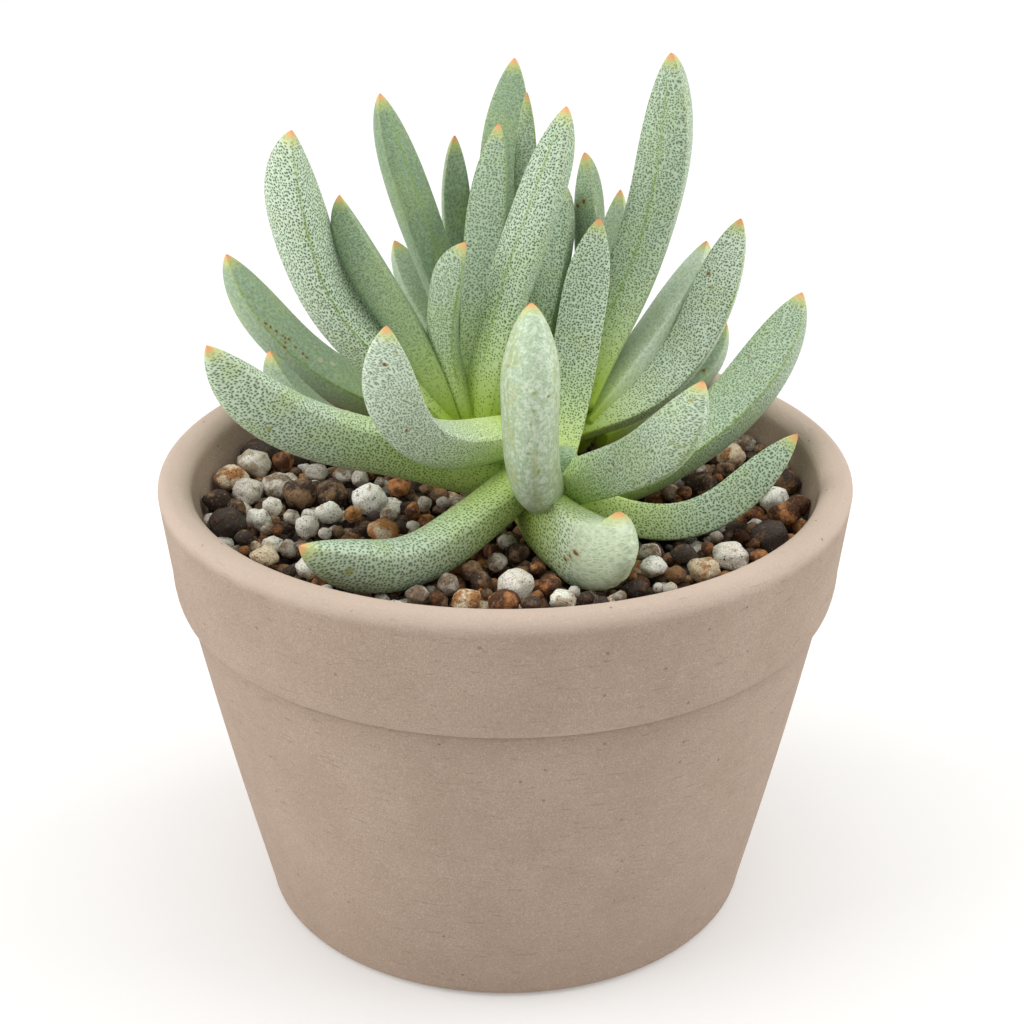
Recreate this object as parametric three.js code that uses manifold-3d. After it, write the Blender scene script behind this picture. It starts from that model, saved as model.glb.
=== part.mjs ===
// A small clump of a keeled-leaf stone plant (Ebracteola wilmaniae) in a squat clay pot.
//
// Millimetres, +Z up. The origin is the centre of the pot's underside. The side of the plant
// that the photograph shows faces -Y, and +X is to its right.
import * as THREE from 'three';
import { mergeVertices } from 'three/addons/utils/BufferGeometryUtils.js';
import Module from 'manifold-3d';

const wasm = await Module();
wasm.setup();

// Driving dimensions of the pot
const RIM_RADIUS = 37.5;
const POT_HEIGHT = 51;
const BASE_RADIUS = 27.5;
const BASE_ROUNDING = 1.4;
const SHOULDER_RADIUS = 35.2;
const BAND_FOOT_RADIUS = 36.5;
const BAND_FOOT_HEIGHT = 37;
const BAND_ROUNDING = 4.2;
const LIP_ROUNDING = 1.8;
const INNER_FLOOR_RADIUS = 24;
const FLOOR_THICKNESS = 4;
const DRAIN_RADIUS = 5;
const POT_SIDES = 56;
const ARC_STEPS = 3;

// Driving dimensions of the potting grit
const GRIT_LEVEL = 45;
const GRIT_MOUND = 0.8;
const MOUND_STEPS = [0.75, 0.5, 0.25];
const GRAIN_RADII = [2.9, 1.8];
const GRAIN_SIZE_SPREAD = 0.08;
const GRAIN_DARTS = 2600;
const GRAIN_SPACING = 0.84;
const GRAIN_LIFT = -0.1;
const GRAIN_DEPTHS = [0, 0.4, 0.75];
const SEED = 20731;

// Driving dimensions of the rootstock, from its lower end to the shoulder that carries the stems
const ROOT_PROFILE = [[2.2, 16], [4.6, 24], [6.4, 32], [6.8, 39], [5.6, 43.5], [3, 46]];
const ROOT_SIDES = 16;
const ROOT_CENTRE = [3.2, 3.4];
const STEM_FOOT_RADIUS = 2.9;
const STEM_TOP_RADIUS = 1.5;
const STEM_FOOT_HEIGHT = 42;
const STEM_SIDES = 8;

// Clearance between pieces that press on each other
const GAP = 0.3;

// Leaf section and outline, shared by every leaf
const LEAF_SIDES = 12;
const LEAF_RINGS = 9;
const FOOT_CAP = 0.015;
const TIP_CROWDING = 1.3;
const WIDEST_AT = 0.68;
const FOOT_SHARE = 0.78;
const FOOT_SWELL = 1.2;
const WIDTH_BLUNTNESS = [2.2, 0.75];
const DEPTH_SHARE = 0.85;
const FOOT_DEPTH_SHARE = 0.75;
const DEPTH_BLUNTNESS = [3, 0.7];
const TOP_SWELL = 0.2;
const KEEL_SHARPNESS = 1.25;
const PATH_STEPS = 44;

// The growing points, where the short stems end
const HEADS = {
  left: [-2.6, 3.8, 53.6],
  front: [4.4, -4.6, 51.2],
  right: [7.6, 7.6, 53.2],
  back: [0.8, 12.6, 52.6],
};

// Each leaf leaves its head towards heading (0 is +X, 90 is +Y), out from the stem's axis and drop
// below the growing point. It climbs at the first angle of rise and ends at the second. bend gives
// the shares of its length between which it turns from one to the other, swing is its turn seen from
// above, roll turns its upper face about the midrib, and twist adds to the roll towards the tip.
// Degrees and millimetres. A leaf that is plumper or less keeled than the rest has a swell or keel.
const LEAVES = [
  {
    name: 'left_head_leaf_1', head: 'left', out: 0.5, drop: 0, heading: 150, swing: 20,
    rise: [67, 99], bend: [0.08, 0.7], roll: 12, length: 21, width: 3.8,
  },
  {
    name: 'left_head_leaf_2', head: 'left', out: -1, drop: 0.5, heading: 37, swing: 5,
    rise: [79, 64], bend: [0, 0.66], roll: 10, length: 36.5, width: 5.2,
  },
  {
    name: 'left_head_leaf_3', head: 'left', out: 2.6, drop: 1, heading: 96, swing: -28,
    rise: [60, 62], bend: [0, 0.7], roll: 0, length: 34, width: 4.4,
  },
  {
    name: 'left_head_leaf_4', head: 'left', out: 1.8, drop: 0.5, heading: 164, swing: 13,
    rise: [44, 77], bend: [0.3, 0.7], roll: -8, length: 38.5, width: 6.4,
  },
  {
    name: 'left_head_leaf_5', head: 'left', out: 2.4, drop: 1, heading: 158, swing: -5,
    rise: [71, 55], bend: [0, 0.6], roll: 32, length: 29, width: 4.4,
  },
  {
    name: 'left_head_leaf_6', head: 'left', out: 3.5, drop: 3, heading: 169, swing: 0,
    rise: [7, 53], bend: [0.2, 0.95], roll: 8, length: 23.8, width: 4.2,
  },
  {
    name: 'front_head_leaf_1', head: 'front', out: 2.1, drop: -0.75, heading: 263, swing: -18,
    rise: [16, 91], bend: [0.03, 0.58], roll: 10, length: 27.4, width: 5.9,
    twist: 24, depth: 0.78, keel: 1,
  },
  {
    name: 'front_head_leaf_2', head: 'front', out: 0.2, drop: 0.6, heading: 78, swing: -14,
    rise: [14, 62], bend: [0.04, 0.46], roll: 13, length: 32, width: 5.2,
  },
  {
    name: 'front_head_leaf_3', head: 'front', out: 0.6, drop: 0.5, heading: 316, swing: 5,
    rise: [31, 61], bend: [0.37, 1], roll: -32, length: 26, width: 5.6, foot: 0.95,
  },
  {
    name: 'front_head_bud', head: 'front', out: 3.6, drop: -0.2, heading: 296, swing: 0,
    rise: [80, 95], bend: [0, 1], roll: 0, length: 4.8, width: 2.8,
  },
  {
    name: 'front_head_leaf_4', head: 'front', out: 1.5, drop: -6.2, heading: 209, swing: 12,
    rise: [5, 73], bend: [0.2, 0.77], roll: -3, length: 25.9, width: 5.9, foot: 0.95,
    depth: 0.79,
  },
  {
    name: 'front_head_leaf_5', head: 'front', out: 0.6, drop: 0.6, heading: 181, swing: 29,
    rise: [20, 44], bend: [0.46, 0.86], roll: 10, length: 40.1, width: 5.9,
    depth: 0.79, swell: 0.5, keel: 1.05,
  },
  {
    name: 'front_head_leaf_6', head: 'front', out: 1, drop: -2.6, heading: 235, swing: -34,
    rise: [-15, 18], bend: [0.44, 0.79], roll: 12, length: 32.1, width: 5.7, foot: 0.95,
    depth: 0.71, swell: 0.5, keel: 1.05,
  },
  {
    name: 'front_head_leaf_7', head: 'front', out: 0, drop: 0.9, heading: 281, swing: 29,
    rise: [4, 76], bend: [0.75, 0.97], roll: -45, length: 18.6, width: 7, foot: 0.95,
    twist: 33, depth: 0.97, keel: 1.1,
  },
  {
    name: 'front_head_leaf_8', head: 'front', out: 2.4, drop: 2, heading: 17, swing: 23,
    rise: [11, 51], bend: [0, 0.97], roll: 8, length: 35.3, width: 6.2,
  },
  {
    name: 'front_head_leaf_9', head: 'front', out: 1, drop: 1, heading: 335, swing: 48,
    rise: [-18, 44], bend: [0.16, 0.79], roll: 49, length: 29.8, width: 4.2,
  },
  {
    name: 'right_head_leaf_1', head: 'right', out: -0.7, drop: -1.2, heading: 55, swing: -16,
    rise: [48, 86], bend: [0.2, 0.88], roll: 15, length: 41.7, width: 6.2,
  },
  {
    name: 'right_head_leaf_2', head: 'right', out: -1.6, drop: 1.1, heading: 23, swing: 16,
    rise: [10, 64], bend: [0.12, 0.71], roll: 26, length: 33.6, width: 5.4,
  },
  {
    name: 'right_head_leaf_3', head: 'right', out: 0.3, drop: 1.1, heading: 50, swing: -10,
    rise: [28, 44], bend: [0, 0.9], roll: -17, length: 27.5, width: 5,
  },
  {
    name: 'right_head_leaf_4', head: 'right', out: 2.6, drop: 1, heading: 80, swing: -17,
    rise: [31, 62], bend: [0.04, 0.73], roll: -11, length: 28.4, width: 3.6,
  },
  {
    name: 'right_head_leaf_5', head: 'right', out: 3, drop: 2.5, heading: 35, swing: 5,
    rise: [7, 45], bend: [0.1, 1], roll: 9, length: 22, width: 4.6,
  },
  {
    name: 'right_head_leaf_6', head: 'right', out: 3, drop: 3, heading: 78, swing: -6,
    rise: [4, 34], bend: [0.1, 1], roll: 0, length: 23, width: 5,
  },
  {
    name: 'back_head_leaf_1', head: 'back', out: 2, drop: 0, heading: 82, swing: -4,
    rise: [60, 86], bend: [0.02, 0.72], roll: 0, length: 34.8, width: 2.7,
  },
  {
    name: 'back_head_leaf_2', head: 'back', out: 1.2, drop: 0, heading: 29, swing: 11,
    rise: [77, 79], bend: [0, 0.7], roll: 16, length: 25.5, width: 4.4,
  },
  {
    name: 'back_head_leaf_3', head: 'back', out: 2, drop: 0, heading: 30, swing: 8,
    rise: [38, 92], bend: [0, 0.6], roll: 10, length: 30.6, width: 3.5,
  },
  {
    name: 'back_head_leaf_4', head: 'back', out: 2.4, drop: 1, heading: 101, swing: -26,
    rise: [64, 60], bend: [0, 0.7], roll: 0, length: 40.5, width: 5.8,
  },
  {
    name: 'back_head_leaf_5', head: 'back', out: 2.5, drop: 1, heading: 145, swing: 0,
    rise: [63, 67], bend: [0, 0.8], roll: -12, length: 37.5, width: 4.8,
  },
  {
    name: 'back_head_leaf_6', head: 'back', out: 3.2, drop: 1, heading: 114, swing: 0,
    rise: [38, 86], bend: [0.04, 0.82], roll: 2, length: 32.7, width: 3.6,
  },
  {
    name: 'back_head_leaf_7', head: 'back', out: 3.2, drop: 2.5, heading: 133, swing: 3,
    rise: [46, 46], bend: [0.1, 0.9], roll: -6, length: 24, width: 4.4,
  },
  {
    name: 'back_head_leaf_8', head: 'back', out: 3, drop: 2, heading: 172, swing: -9,
    rise: [9, 52], bend: [0.1, 0.9], roll: -12, length: 36.5, width: 5.4,
  },
  {
    name: 'back_head_leaf_9', head: 'back', out: 3, drop: 3, heading: 104, swing: 4,
    rise: [8, 40], bend: [0.1, 1], roll: 0, length: 19.5, width: 4.6,
  },
];

// The path of a leaf's upper face, with its direction, its upward normal and its side direction.
function leafPath(leaf) {
  const radians = THREE.MathUtils.degToRad;
  const [hx, hy, hz] = HEADS[leaf.head];
  const start = radians(leaf.heading);
  const at = new THREE.Vector3(
    hx + leaf.out * Math.cos(start),
    hy + leaf.out * Math.sin(start),
    hz - leaf.drop,
  );
  const frames = [];
  for (let i = 0; i <= PATH_STEPS; i++) {
    const share = i / PATH_STEPS;
    const turned = THREE.MathUtils.smoothstep(share, leaf.bend[0], leaf.bend[1]);
    const rise = radians(THREE.MathUtils.lerp(leaf.rise[0], leaf.rise[1], turned));
    const heading = radians(leaf.heading + leaf.swing * share);
    const along = new THREE.Vector3(
      Math.cos(rise) * Math.cos(heading),
      Math.cos(rise) * Math.sin(heading),
      Math.sin(rise),
    );
    const up = new THREE.Vector3(
      -Math.sin(rise) * Math.cos(heading),
      -Math.sin(rise) * Math.sin(heading),
      Math.cos(rise),
    ).applyAxisAngle(along, radians(leaf.roll + (leaf.twist ?? 0) * share));
    const side = new THREE.Vector3().crossVectors(along, up);
    frames.push({ point: at.clone(), along, up, side });
    at.addScaledVector(along, leaf.length / PATH_STEPS);
  }
  return frames;
}

// The share of the full width at a share of the length: a narrow foot, the widest place past the
// middle, and a blunt point.
function widthShare(share, foot) {
  if (share < WIDEST_AT) {
    const swell = Math.sin((Math.PI / 2) * (share / WIDEST_AT));
    return foot + (1 - foot) * Math.pow(swell, FOOT_SWELL);
  }
  const past = (share - WIDEST_AT) / (1 - WIDEST_AT);
  return Math.pow(Math.max(0, 1 - Math.pow(past, WIDTH_BLUNTNESS[0])), WIDTH_BLUNTNESS[1]);
}

// The same for the depth of the keel, which stays deep nearly to the tip.
function depthShare(share) {
  if (share < WIDEST_AT) return THREE.MathUtils.lerp(FOOT_DEPTH_SHARE, 1, share / WIDEST_AT);
  const past = (share - WIDEST_AT) / (1 - WIDEST_AT);
  return Math.pow(Math.max(0, 1 - Math.pow(past, DEPTH_BLUNTNESS[0])), DEPTH_BLUNTNESS[1]);
}

// A leaf: a ball drawn out along the path, nearly flat above and keeled below. It is made grown by
// a clearance where it has to cut the pieces that it presses on.
function leafGeometry(leaf, grown = 0) {
  const frames = leafPath(leaf);
  const foot = leaf.foot ?? FOOT_SHARE;
  const depth = leaf.width * (leaf.depth ?? DEPTH_SHARE);
  const topSwell = leaf.swell ?? TOP_SWELL;
  const keelSharpness = leaf.keel ?? KEEL_SHARPNESS;
  const ball = new THREE.SphereGeometry(1, LEAF_SIDES, LEAF_RINGS);
  const position = ball.attributes.position;
  const firstRing = 1 / LEAF_RINGS;
  for (let i = 0; i < position.count; i++) {
    const height = THREE.MathUtils.clamp(position.getY(i), -1, 1);
    const ring = 1 - Math.acos(height) / Math.PI;
    const round = Math.atan2(position.getZ(i), position.getX(i));
    const beyond = Math.max(0, (ring - firstRing) / (1 - firstRing));
    const eased = 1 - Math.pow(1 - beyond, TIP_CROWDING);
    const atPole = ring < firstRing / 2;
    const share = atPole ? 0 : FOOT_CAP + (1 - FOOT_CAP) * eased;
    const atTip = ring > 1 - firstRing / 2;
    const wide = atPole || atTip ? 0 : (leaf.width / 2) * widthShare(share, foot) + grown;
    const deep = atPole || atTip ? 0 : depth * depthShare(share) + grown;
    const above = atPole || atTip ? 0 : topSwell * wide + grown;
    const cos = Math.cos(round);
    const sin = Math.sin(round);
    const keeled = sin < 0 ? keelSharpness : 1;
    const across = wide * Math.sign(cos) * Math.pow(Math.abs(cos), keeled);
    const lift = sin < 0 ? -deep * Math.pow(-sin, keeled) : above * sin;
    const place = share * PATH_STEPS;
    const step = Math.min(PATH_STEPS - 1, Math.floor(place));
    const from = frames[step];
    const to = frames[step + 1];
    const point = from.point.clone().lerp(to.point, place - step);
    point.addScaledVector(from.side, across).addScaledVector(from.up, lift);
    if (atPole) point.addScaledVector(from.along, -grown);
    if (atTip) point.addScaledVector(to.along, grown);
    position.setXYZ(i, point.x, point.y, point.z);
  }
  return ball;
}

// A three.js geometry as a solid that can be joined and cut.
function solid(geometry) {
  const plain = geometry.clone();
  plain.deleteAttribute('normal');
  plain.deleteAttribute('uv');
  const merged = mergeVertices(plain, 1e-4);
  return new wasm.Manifold(
    new wasm.Mesh({
      numProp: 3,
      vertProperties: new Float32Array(merged.attributes.position.array),
      triVerts: new Uint32Array(merged.index.array),
    }),
  );
}

// The biggest of the bodies that a cut leaves.
function biggest(cut) {
  const bodies = cut.decompose();
  return bodies.reduce((best, body) => (body.volume() > best.volume() ? body : best));
}

// A turned solid from a profile of [radius, height] pairs that closes on itself or on the axis.
function turned(profile, sides) {
  const points = profile.map(([radius, height]) => new THREE.Vector2(radius, height));
  const lathe = new THREE.LatheGeometry(points, sides);
  lathe.rotateX(Math.PI / 2);
  return solid(lathe);
}

// The points of an elliptical arc between two angles, in degrees.
function arc(centre, radii, from, to) {
  const points = [];
  for (let i = 0; i <= ARC_STEPS; i++) {
    const angle = THREE.MathUtils.degToRad(from + ((to - from) * i) / ARC_STEPS);
    points.push([centre[0] + radii[0] * Math.cos(angle), centre[1] + radii[1] * Math.sin(angle)]);
  }
  return points;
}

// The inside of the pot at a height: a straight taper from the lip to the floor.
const innerRimRadius = RIM_RADIUS - 2 * LIP_ROUNDING;
const lipCentreHeight = POT_HEIGHT - LIP_ROUNDING;
function innerRadius(height) {
  const share = (height - FLOOR_THICKNESS) / (lipCentreHeight - FLOOR_THICKNESS);
  return THREE.MathUtils.lerp(INNER_FLOOR_RADIUS, innerRimRadius, share);
}

// The pot: a tapered wall, a thicker band round the mouth with a rounded lip, and a drain hole.
function potSolid() {
  const baseArcCentre = [BASE_RADIUS - BASE_ROUNDING, BASE_ROUNDING];
  const bandArcCentre = [SHOULDER_RADIUS, BAND_FOOT_HEIGHT + BAND_ROUNDING];
  const bandArcRadii = [BAND_FOOT_RADIUS - SHOULDER_RADIUS, BAND_ROUNDING];
  const lipCentre = [RIM_RADIUS - LIP_ROUNDING, lipCentreHeight];
  const profile = [
    [DRAIN_RADIUS, 0],
    ...arc(baseArcCentre, [BASE_ROUNDING, BASE_ROUNDING], -90, 0),
    ...arc(bandArcCentre, bandArcRadii, -90, 0),
    ...arc(lipCentre, [LIP_ROUNDING, LIP_ROUNDING], 0, 90),
    ...arc(lipCentre, [LIP_ROUNDING, LIP_ROUNDING], 90, 180).slice(1),
    [INNER_FLOOR_RADIUS, FLOOR_THICKNESS],
    [DRAIN_RADIUS, FLOOR_THICKNESS],
    [DRAIN_RADIUS, 0],
  ];
  return turned(profile, POT_SIDES);
}

// The level of the grit at a distance from the pot's axis: a low mound round the plant.
function gritHeight(radius) {
  const share = Math.min(1, radius / innerRimRadius);
  return GRIT_LEVEL + GRIT_MOUND * (1 - share * share);
}

// The grit without its top grains: it fills the pot from the floor up.
function gritBody() {
  const edge = innerRadius(GRIT_LEVEL) - GAP;
  const surface = MOUND_STEPS.map((share) => [edge * share, gritHeight(edge * share)]);
  const profile = [
    [0, FLOOR_THICKNESS],
    [INNER_FLOOR_RADIUS - GAP, FLOOR_THICKNESS],
    [edge, GRIT_LEVEL],
    ...surface,
    [0, gritHeight(0)],
  ];
  return turned(profile, POT_SIDES);
}

// A repeatable series of numbers between 0 and 1.
let state = SEED;
function random() {
  state = (state * 1664525 + 1013904223) % 4294967296;
  return state / 4294967296;
}

// The top grains. They are thrown one after another, the largest first, and each stays only where it
// clears the grains before it and the pot.
function grainPlaces() {
  const places = [];
  for (let i = 0; i < GRAIN_DARTS; i++) {
    const share = i / (GRAIN_DARTS - 1);
    const size = THREE.MathUtils.lerp(GRAIN_RADII[0], GRAIN_RADII[1], Math.sqrt(share));
    const radius = size * (1 + GRAIN_SIZE_SPREAD * (2 * random() - 1));
    const reach = innerRadius(GRIT_LEVEL) - 2 * GAP - radius;
    const distance = reach * Math.sqrt(random());
    const angle = 2 * Math.PI * random();
    const x = distance * Math.cos(angle);
    const y = distance * Math.sin(angle);
    const clear = places.every((p) => Math.hypot(p.x - x, p.y - y) > GRAIN_SPACING * (p.radius + radius));
    if (clear) places.push({ x, y, z: gritHeight(distance) + GRAIN_LIFT * radius, radius });
  }
  return places;
}

// The rootstock: a tapered tuber in the grit with a short stem to each growing point.
function rootstockSolid(grown = 0) {
  const inner = ROOT_PROFILE.map(([radius, height]) => [radius + grown, height]);
  const low = ROOT_PROFILE[0][1] - grown;
  const high = ROOT_PROFILE[ROOT_PROFILE.length - 1][1] + grown;
  let made = turned([[0, low], ...inner, [0, high]], ROOT_SIDES).translate([...ROOT_CENTRE, 0]);
  for (const [x, y, z] of Object.values(HEADS)) {
    const foot = new THREE.Vector3(ROOT_CENTRE[0], ROOT_CENTRE[1], STEM_FOOT_HEIGHT);
    const top = new THREE.Vector3(x, y, z);
    const length = foot.distanceTo(top);
    const stem = new THREE.CylinderGeometry(
      STEM_TOP_RADIUS + grown, STEM_FOOT_RADIUS + grown, length + grown, STEM_SIDES,
    );
    stem.translate(0, (length + grown) / 2, 0);
    const lean = new THREE.Quaternion().setFromUnitVectors(
      new THREE.Vector3(0, 1, 0),
      top.clone().sub(foot).normalize(),
    );
    stem.applyQuaternion(lean);
    stem.translate(foot.x, foot.y, foot.z);
    made = made.add(solid(stem));
  }
  return made;
}

// A solid as a named mesh of the group, flat shaded, in its own colour.
function meshOf(name, made, colour, roughness) {
  const { numProp, vertProperties, triVerts } = made.getMesh();
  const corners = new Float32Array(triVerts.length * 3);
  triVerts.forEach((vertex, i) => {
    corners.set(vertProperties.subarray(vertex * numProp, vertex * numProp + 3), i * 3);
  });
  const geometry = new THREE.BufferGeometry();
  geometry.setAttribute('position', new THREE.BufferAttribute(corners, 3));
  geometry.computeVertexNormals();
  const material = new THREE.MeshStandardMaterial({ color: colour, roughness, metalness: 0 });
  const mesh = new THREE.Mesh(geometry, material);
  mesh.name = name;
  return mesh;
}

const group = new THREE.Group();
group.name = 'potted_ebracteola';
group.add(meshOf('pot', potSolid(), '#ab9a89', 0.9));

const rootstockClearance = rootstockSolid(GAP);
group.add(meshOf('rootstock', rootstockSolid(), '#8a7c5c', 0.8));

// Each leaf keeps clear of the stems and of the leaves inside it, which it is pressed against.
let taken = rootstockClearance;
for (const leaf of LEAVES) {
  const made = biggest(solid(leafGeometry(leaf)).subtract(taken));
  group.add(meshOf(leaf.name, made, '#9db59c', 0.6));
  taken = taken.add(solid(leafGeometry(leaf, GAP)));
}

// The grit with its top grains. A grain that would press on a leaf lies deeper, or is left out, and
// the body gives way to the low leaves and to the rootstock, which stands in a plain hole.
let grit = gritBody();
for (const place of grainPlaces()) {
  for (const depth of GRAIN_DEPTHS) {
    const ball = new THREE.IcosahedronGeometry(place.radius, 0);
    ball.rotateX(place.x).rotateY(place.y);
    ball.translate(place.x, place.y, place.z - depth * place.radius);
    const grain = solid(ball);
    if (!grain.intersect(taken).isEmpty()) continue;
    grit = grit.add(grain);
    break;
  }
}
grit = biggest(grit.subtract(taken));
group.add(meshOf('grit', grit, '#6d6152', 0.95));

export default group;
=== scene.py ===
import math
import random

import bpy
import numpy as np
from mathutils import Matrix, Quaternion, Vector
from mathutils.bvhtree import BVHTree


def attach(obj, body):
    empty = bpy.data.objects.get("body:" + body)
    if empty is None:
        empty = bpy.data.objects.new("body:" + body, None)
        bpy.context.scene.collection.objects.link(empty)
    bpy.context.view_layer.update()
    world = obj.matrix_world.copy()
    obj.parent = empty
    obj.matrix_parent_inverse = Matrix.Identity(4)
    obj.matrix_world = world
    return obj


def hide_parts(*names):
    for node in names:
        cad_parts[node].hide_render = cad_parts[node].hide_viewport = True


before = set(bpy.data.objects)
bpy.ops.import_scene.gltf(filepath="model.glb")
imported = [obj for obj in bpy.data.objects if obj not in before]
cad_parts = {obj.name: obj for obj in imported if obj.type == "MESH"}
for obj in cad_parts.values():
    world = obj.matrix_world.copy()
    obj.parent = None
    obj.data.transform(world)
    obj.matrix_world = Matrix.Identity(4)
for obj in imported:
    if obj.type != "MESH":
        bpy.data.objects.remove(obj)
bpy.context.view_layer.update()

# The view: a short telephoto look down on the plant from in front, as a bench photograph of a small
# pot is taken. Lengths are in millimetres here and in metres in the scene.
MM = 0.001
LOOK_AT = Vector((0.72, 0.0, 44.7)) * MM
LOOK_DOWN = math.radians(24.8)
STAND_OFF = 230.6 * MM
LENS = 73.65
SENSOR = 36.0
PICTURE = 1024

bpy.ops.object.select_all(action="DESELECT")
look_back = Vector((0.0, -math.cos(LOOK_DOWN), math.sin(LOOK_DOWN)))
bpy.ops.object.camera_add(
    location=LOOK_AT + look_back * STAND_OFF,
    rotation=(math.pi / 2 - LOOK_DOWN, 0.0, 0.0),
)
camera = bpy.context.object
camera.data.lens = LENS
camera.data.sensor_width = SENSOR
camera.data.clip_start = 10 * MM
bpy.context.scene.camera = camera


def sight_line(across, down):
    """The camera's place and the direction in which it sees a point of the picture."""
    reach = PICTURE * LENS / SENSOR
    turned = camera.rotation_euler.to_matrix()
    aim = Vector((across - PICTURE / 2, PICTURE / 2 - down, -reach))
    return camera.location.copy(), (turned @ aim).normalized()


def on_level(across, down, height):
    """The point at a height, in metres, that shows at a point of the picture."""
    eye, aim = sight_line(across, down)
    return eye + aim * ((height - eye.z) / aim.z)


# The light: a white tent with a broad lamp on each side and one overhead, so that the side turned to
# the camera is the darkest. The table is a plain white sheet.
TENT_STRENGTH = 0.55
LAMP_AIM = Vector((0.0, 0.0, 0.04))
# Name, place and breadth in metres, and power in watts
LAMPS = (
    ("left_lamp", (-1.0, -0.15, 0.5), 1.0, 8.0),
    ("right_lamp", (1.0, 0.1, 0.55), 1.0, 7.0),
    ("top_lamp", (0.0, 0.0, 0.95), 1.0, 4.2),
)
bpy.context.scene.view_settings.view_transform = "Standard"
tent = bpy.data.worlds.new("white_tent")
bpy.context.scene.world = tent
tent.use_nodes = True
tent.node_tree.nodes["Background"].inputs["Color"].default_value = (1.0, 0.995, 0.985, 1.0)
tent.node_tree.nodes["Background"].inputs["Strength"].default_value = TENT_STRENGTH
for name, place, size, watts in LAMPS:
    bpy.ops.object.light_add(type="AREA", location=place)
    lamp = bpy.context.object
    lamp.name = name
    lamp.data.size = size
    lamp.data.energy = watts
    lamp.rotation_euler = (LAMP_AIM - Vector(place)).to_track_quat("-Z", "Y").to_euler()


class Wire:
    """An output of a shader node. Sums on it add Math nodes, and node() adds any other node."""

    def __init__(self, tree, socket=None):
        self.tree = tree
        self.socket = socket

    def node(self, kind, settings=None, sockets=None, output=0):
        made = self.tree.nodes.new("ShaderNode" + kind)
        for name, value in (settings or {}).items():
            setattr(made, name, value)
        for name, value in (sockets or {}).items():
            if isinstance(value, Wire):
                self.tree.links.new(value.socket, made.inputs[name])
            else:
                made.inputs[name].default_value = value
        return Wire(self.tree, made.outputs[output])

    def sum(self, operation, first, second=0.0, clamp=False):
        return self.node("Math", {"operation": operation, "use_clamp": clamp}, {0: first, 1: second})

    def __add__(self, other):
        return self.sum("ADD", self, other)

    __radd__ = __add__

    def __sub__(self, other):
        return self.sum("SUBTRACT", self, other)

    def __rsub__(self, other):
        return self.sum("SUBTRACT", other, self)

    def __mul__(self, other):
        return self.sum("MULTIPLY", self, other)

    __rmul__ = __mul__

    def __truediv__(self, other):
        return self.sum("DIVIDE", self, other)

    def __abs__(self):
        return self.sum("ABSOLUTE", self)

    def held(self):
        """The value kept between 0 and 1."""
        return self.sum("ADD", self, 0.0, clamp=True)

    def rise(self, low, high):
        """0 at low and 1 at high, eased between. Low may be the greater."""
        return self.node(
            "MapRange",
            {"interpolation_type": "SMOOTHSTEP"},
            {"Value": self, "From Min": low, "From Max": high},
        )

    def mix(self, share, first, second):
        """Goes from one colour to the other as share goes from 0 to 1."""
        return self.node("Mix", {"data_type": "RGBA"}, {0: share, 6: first, 7: second}, 2)

    def noise(self, at, scale, detail=2.0, roughness=0.5):
        return self.node(
            "TexNoise", {}, {"Vector": at, "Scale": scale, "Detail": detail, "Roughness": roughness}
        )


def shade(red, green, blue):
    """A colour read as display values from 0 to 255, as the shader wants it."""
    return tuple(
        value / 12.92 if value <= 0.04045 else ((value + 0.055) / 1.055) ** 2.4
        for value in (red / 255, green / 255, blue / 255)
    ) + (1.0,)


def finish(name):
    """A new material: its first wire and its surface shader."""
    made = bpy.data.materials.new(name)
    made.use_nodes = True
    return made, Wire(made.node_tree), made.node_tree.nodes["Principled BSDF"]


def connect(wire, shader, socket):
    wire.tree.links.new(wire.socket, shader.inputs[socket])


def in_millimetres(start):
    """The piece's own coordinates in millimetres."""
    here = start.node("TexCoord", {}, {}, "Object")
    return start.node("VectorMath", {"operation": "SCALE"}, {0: here, "Scale": 1000.0})


def stretched(at, across, up):
    """Coordinates scaled by one factor on the level and by another up and down."""
    return at.node("VectorMath", {"operation": "MULTIPLY"}, {0: at, 1: (across, across, up)})


def bump(height, strength, depth):
    return height.node("Bump", {}, {"Height": height, "Strength": strength, "Distance": depth})


TABLE_BREADTH = 6.0
TABLE_DROP = 0.02
TABLE_GLOW = 0.22
bpy.ops.mesh.primitive_plane_add(size=TABLE_BREADTH, location=(0, 0, -TABLE_DROP * MM))
table = bpy.context.object
table.name = "table"
paper, start, shader = finish("white_paper")
at = in_millimetres(start)
connect(
    start.mix(start.noise(at, 0.02), shade(218, 218, 217), shade(222, 221, 220)), shader, "Base Color"
)
shader.inputs["Roughness"].default_value = 0.9
shader.inputs["Emission Color"].default_value = (1.0, 1.0, 0.99, 1.0)
shader.inputs["Emission Strength"].default_value = TABLE_GLOW
table.data.materials.append(paper)

# The pot: squat, turned on a wheel and fired without glaze. The wall tapers up to a crease, from which
# a thicker band stands out round the mouth. The clay is a pinkish grey with fine sand and small pits.
RIM_RADIUS = 37.5
POT_HEIGHT = 51.0
BASE_RADIUS = 27.5
BASE_ROUNDING = 1.4
WALL_TOP = (34.95, 36.4)
WALL_FULLNESS = 0.2
WALL_STEPS = 8
CREASE = ((34.88, 36.62), (34.84, 36.8), (34.96, 36.95))
SHOULDER = (35.2, 37.0)
BAND_FOOT = (36.5, 41.2)
LIP_OUTSIDE = 1.3
LIP_INSIDE = 1.8
INNER_FLOOR = (24.0, 4.0)
DRAIN_RADIUS = 5.0
POT_SIDES = 160
SMOOTH_BELOW = math.radians(40)
# Heights between which painted shade darkens the clay towards its foot, a painted shadow darkens it
# below the band, and a painted highlight pales the lip
FOOT_SHADE = (20.0, 2.0)
BAND_SHADE = (32.0, 36.8)
BAND_SHADE_END = (37.1, 36.9)
LIP_PAINTED_HIGHLIGHT = (48.8, 50.4)


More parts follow.
